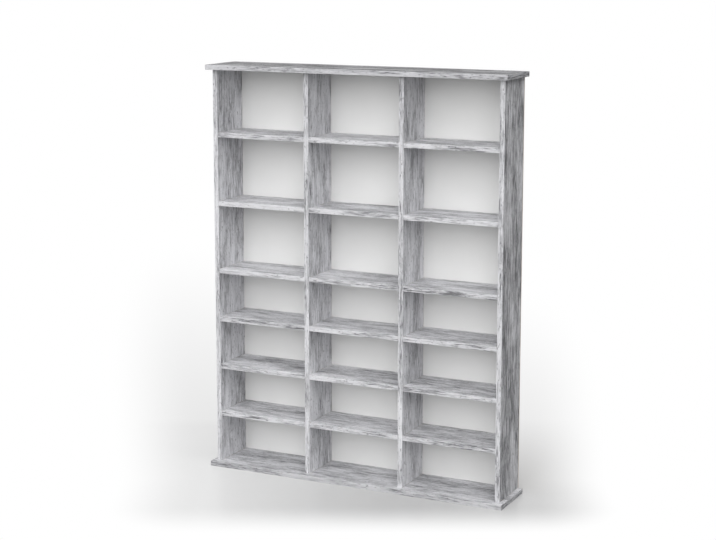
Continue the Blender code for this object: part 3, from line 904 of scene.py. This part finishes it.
def share_of_white(tree, place):
    """How white the floor is at a place: not at all by the rack, and wholly far from it."""
    across, away = (
        node(tree, "VectorMath", {0: place, 1: way}, operation="DOT_PRODUCT").outputs["Value"]
        for way in (ACROSS, AWAY)
    )
    width = math_node(tree, "MULTIPLY_ADD", math_node(tree, "MAXIMUM", away, 0.0), SPREAD, 1.0)
    narrowed = math_node(tree, "DIVIDE", math_node(tree, "ABSOLUTE", across), width)
    leaning = math_node(tree, "MULTIPLY_ADD", math_node(tree, "MAXIMUM", across, 0.0), LEAN, away)
    reaches = {
        "X": ramp(tree, narrowed, *SIDE_FADE),
        "Y": ramp(tree, away, -FRONT_FADE[0], -FRONT_FADE[1]),
        "Z": ramp(tree, leaning, *REAR_FADE),
    }
    reach = node(tree, "CombineXYZ", reaches).outputs["Vector"]
    reach = node(tree, "VectorMath", {0: reach}, operation="LENGTH").outputs["Value"]
    left_haze = ramp(tree, across, *LEFT_HAZE_SPAN, *LEFT_HAZE)
    haze = math_node(tree, "MAXIMUM", ramp(tree, away, *HAZE_SPAN, *HAZE), left_haze)
    return ramp(tree, reach, 0.0, 1.0, haze, 1.0, kind="SMOOTHSTEP")


print("the floor is white from", FRONT_FADE[1], "m in front of the rack's middle")

# %% [markdown]
# ## The floor
#
# The rack stands on a plain pale floor with a slight gloss, which shows the rack's shadow and a faint
# mirror image at its foot. To the light that bounces about the room the floor is darker than it looks: a
# floor this pale would fill every corner from below, and wipe out the dark line under the top board's
# overhang.

# %% Lay the floor
FLOOR_SIDE = 30.0
FLOOR_GREYS = (grey(0.555), grey(0.575))
FLOOR_BOUNCE = grey(0.16)  # the floor's colour for light that bounces off it
FLOOR_NOISE = (40.0, 3.0)  # grains in a metre, and detail
FLOOR_ROUGHNESS = 0.22
FLOOR_GLOSS = 0.12


def floor_finish():
    """A pale grey floor that fades to white."""
    material, tree, shader, place = new_finish("pale_floor")
    looked_at = only_looked_at(tree)
    pale = blend(tree, noise_at(tree, place, *FLOOR_NOISE), *FLOOR_GREYS)
    tree.links.new(blend(tree, looked_at, FLOOR_BOUNCE, pale), shader.inputs["Base Color"])
    shader.inputs["Roughness"].default_value = FLOOR_ROUGHNESS
    shader.inputs["Specular IOR Level"].default_value = FLOOR_GLOSS
    white = node(tree, "Emission", {"Color": WHITE, "Strength": 1.0}).outputs[0]
    fade = math_node(tree, "MULTIPLY", share_of_white(tree, place), looked_at)
    mixed = node(tree, "MixShader", {0: fade, 1: shader.outputs[0], 2: white}).outputs[0]
    tree.links.new(mixed, tree.nodes["Material Output"].inputs["Surface"])
    return material


bm = bmesh.new()
bmesh.ops.create_grid(bm, x_segments=1, y_segments=1, size=FLOOR_SIDE / 2)
floor = add_piece("floor", bm, floor_finish())
print("floor", FLOOR_SIDE, "m wide")

# %% [markdown]
# ## Soft studio light
#
# Three big, distant soft boxes light the rack. The key stands low, in front and a little to the right,
# and makes the front edges the brightest faces. A weaker one fills from the left. The third hangs high on
# the right: it makes each shelf paler at its front than deep inside, and draws the dark line under the
# top board's overhang. A sun lamp with a wide disc does that evenly from the top of the rack to its foot.
# A weak fourth one stands behind, so that the rack's rear can be seen too, and is kept out of the gloss.

# %% Light the rack
LAMPS = {  # degrees to the right of the front, degrees above the horizon, degrees across the disc, and level
    "key_lamp": (15, 18, 60, 0.74),
    "fill_lamp": (-25, 26, 60, 0.30),
    "top_lamp": (60, 58, 60, 0.60),
    "rear_lamp": (205, 28, 80, 0.22),
}


def hang_lamp(name, turn, lift, width, level):
    """A distant soft box: a sun lamp with a wide disc. Level 1 is what shows white paper as white."""
    turn, lift = math.radians(turn), math.radians(lift)
    towards = Vector((math.sin(turn) * math.cos(lift), -math.cos(turn) * math.cos(lift), math.sin(lift)))
    data = bpy.data.lights.new(name, "SUN")
    data.angle = math.radians(width)
    data.energy = level * math.pi
    lamp = bpy.data.objects.new(name, data)
    lamp.rotation_euler = towards.to_track_quat("Z", "Y").to_euler()
    lamp.visible_glossy = name != "rear_lamp"
    bpy.context.scene.collection.objects.link(lamp)
    print(name, "towards", [round(value, 2) for value in towards], "level", level)


for name, aim in LAMPS.items():
    hang_lamp(name, *aim)

# %% [markdown]
# ## The room around the rack
#
# A real studio's walls send back a little light from all sides, which keeps the deepest corners from
# going black. The world gives that trace of even light. Where it is looked at it shows white instead, so
# that the background and the far floor are one.

# %% Fill the room
ROOM_LIGHT = 0.04

world = bpy.data.worlds.new("studio")
world.use_nodes = True
bpy.context.scene.world = world
room = world.node_tree
dim = room.nodes["Background"]
dim.inputs["Color"].default_value = WHITE
dim.inputs["Strength"].default_value = ROOM_LIGHT
bright = node(room, "Background", {"Color": WHITE, "Strength": 1.0}).outputs[0]
both = node(room, "MixShader", {0: only_looked_at(room), 1: dim.outputs[0], 2: bright}).outputs[0]
room.links.new(both, room.nodes["World Output"].inputs["Surface"])
print("room light", ROOM_LIGHT)
